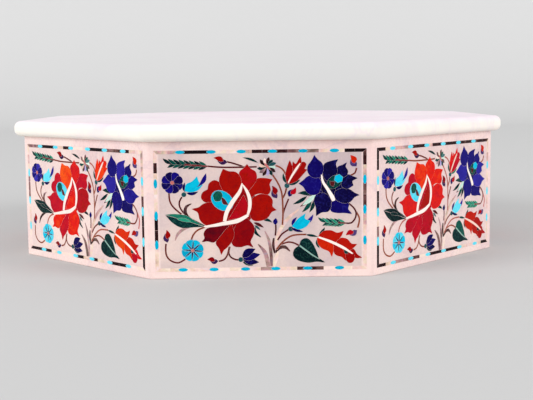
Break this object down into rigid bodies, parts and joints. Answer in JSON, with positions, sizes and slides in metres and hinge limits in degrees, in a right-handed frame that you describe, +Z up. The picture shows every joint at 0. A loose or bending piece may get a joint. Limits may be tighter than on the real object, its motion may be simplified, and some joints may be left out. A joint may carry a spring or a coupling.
{
  "type": "marble box",
  "caption": "Octagonal marble box with floral stone inlay on its sides and a loose slab lid, for keeping small things.",
  "frame": {"origin": "centre of the flat underside, which rests on the table", "axes": "+Z up; the front panel faces -Y and the right panel faces +X"},
  "size_m": [0.264, 0.264, 0.0728],
  "materials": {
    "marble": "polished",
    "lid_marble": "polished",
    "shell": "polished",
    "red_stone": "polished",
    "blue_stone": "polished",
    "orange_stone": "polished",
    "green_stone": "polished",
    "turquoise": "polished"
  },
  "bodies": {
    "root": {"box_body": "marble", "lid": "lid_marble", "front_border": "shell", "front_rose": "red_stone", "front_blue_flower": "blue_stone", "front_orange_bud": "orange_stone", "front_tulip": "red_stone", "front_heart_leaf": "green_stone", "front_turquoise_flower": "turquoise", "front_right_border": "shell", "front_right_rose": "red_stone", "front_right_blue_flower": "blue_stone", "front_right_orange_bud": "orange_stone", "front_right_tulip": "red_stone", "front_right_heart_leaf": "green_stone", "front_right_turquoise_flower": "turquoise", "right_border": "shell", "right_rose": "red_stone", "right_blue_flower": "blue_stone", "right_orange_bud": "orange_stone", "right_tulip": "red_stone", "right_heart_leaf": "green_stone", "right_turquoise_flower": "turquoise", "back_right_border": "shell", "back_right_rose": "red_stone", "back_right_blue_flower": "blue_stone", "back_right_orange_bud": "orange_stone", "back_right_tulip": "red_stone", "back_right_heart_leaf": "green_stone", "back_right_turquoise_flower": "turquoise", "back_border": "shell", "back_rose": "red_stone", "back_blue_flower": "blue_stone", "back_orange_bud": "orange_stone", "back_tulip": "red_stone", "back_heart_leaf": "green_stone", "back_turquoise_flower": "turquoise", "back_left_border": "shell", "back_left_rose": "red_stone", "back_left_blue_flower": "blue_stone", "back_left_orange_bud": "orange_stone", "back_left_tulip": "red_stone", "back_left_heart_leaf": "green_stone", "back_left_turquoise_flower": "turquoise", "left_border": "shell", "left_rose": "red_stone", "left_blue_flower": "blue_stone", "left_orange_bud": "orange_stone", "left_tulip": "red_stone", "left_heart_leaf": "green_stone", "left_turquoise_flower": "turquoise", "front_left_border": "shell", "front_left_rose": "red_stone", "front_left_blue_flower": "blue_stone", "front_left_orange_bud": "orange_stone", "front_left_tulip": "red_stone", "front_left_heart_leaf": "green_stone", "front_left_turquoise_flower": "turquoise"}
  },
  "joints": []
}
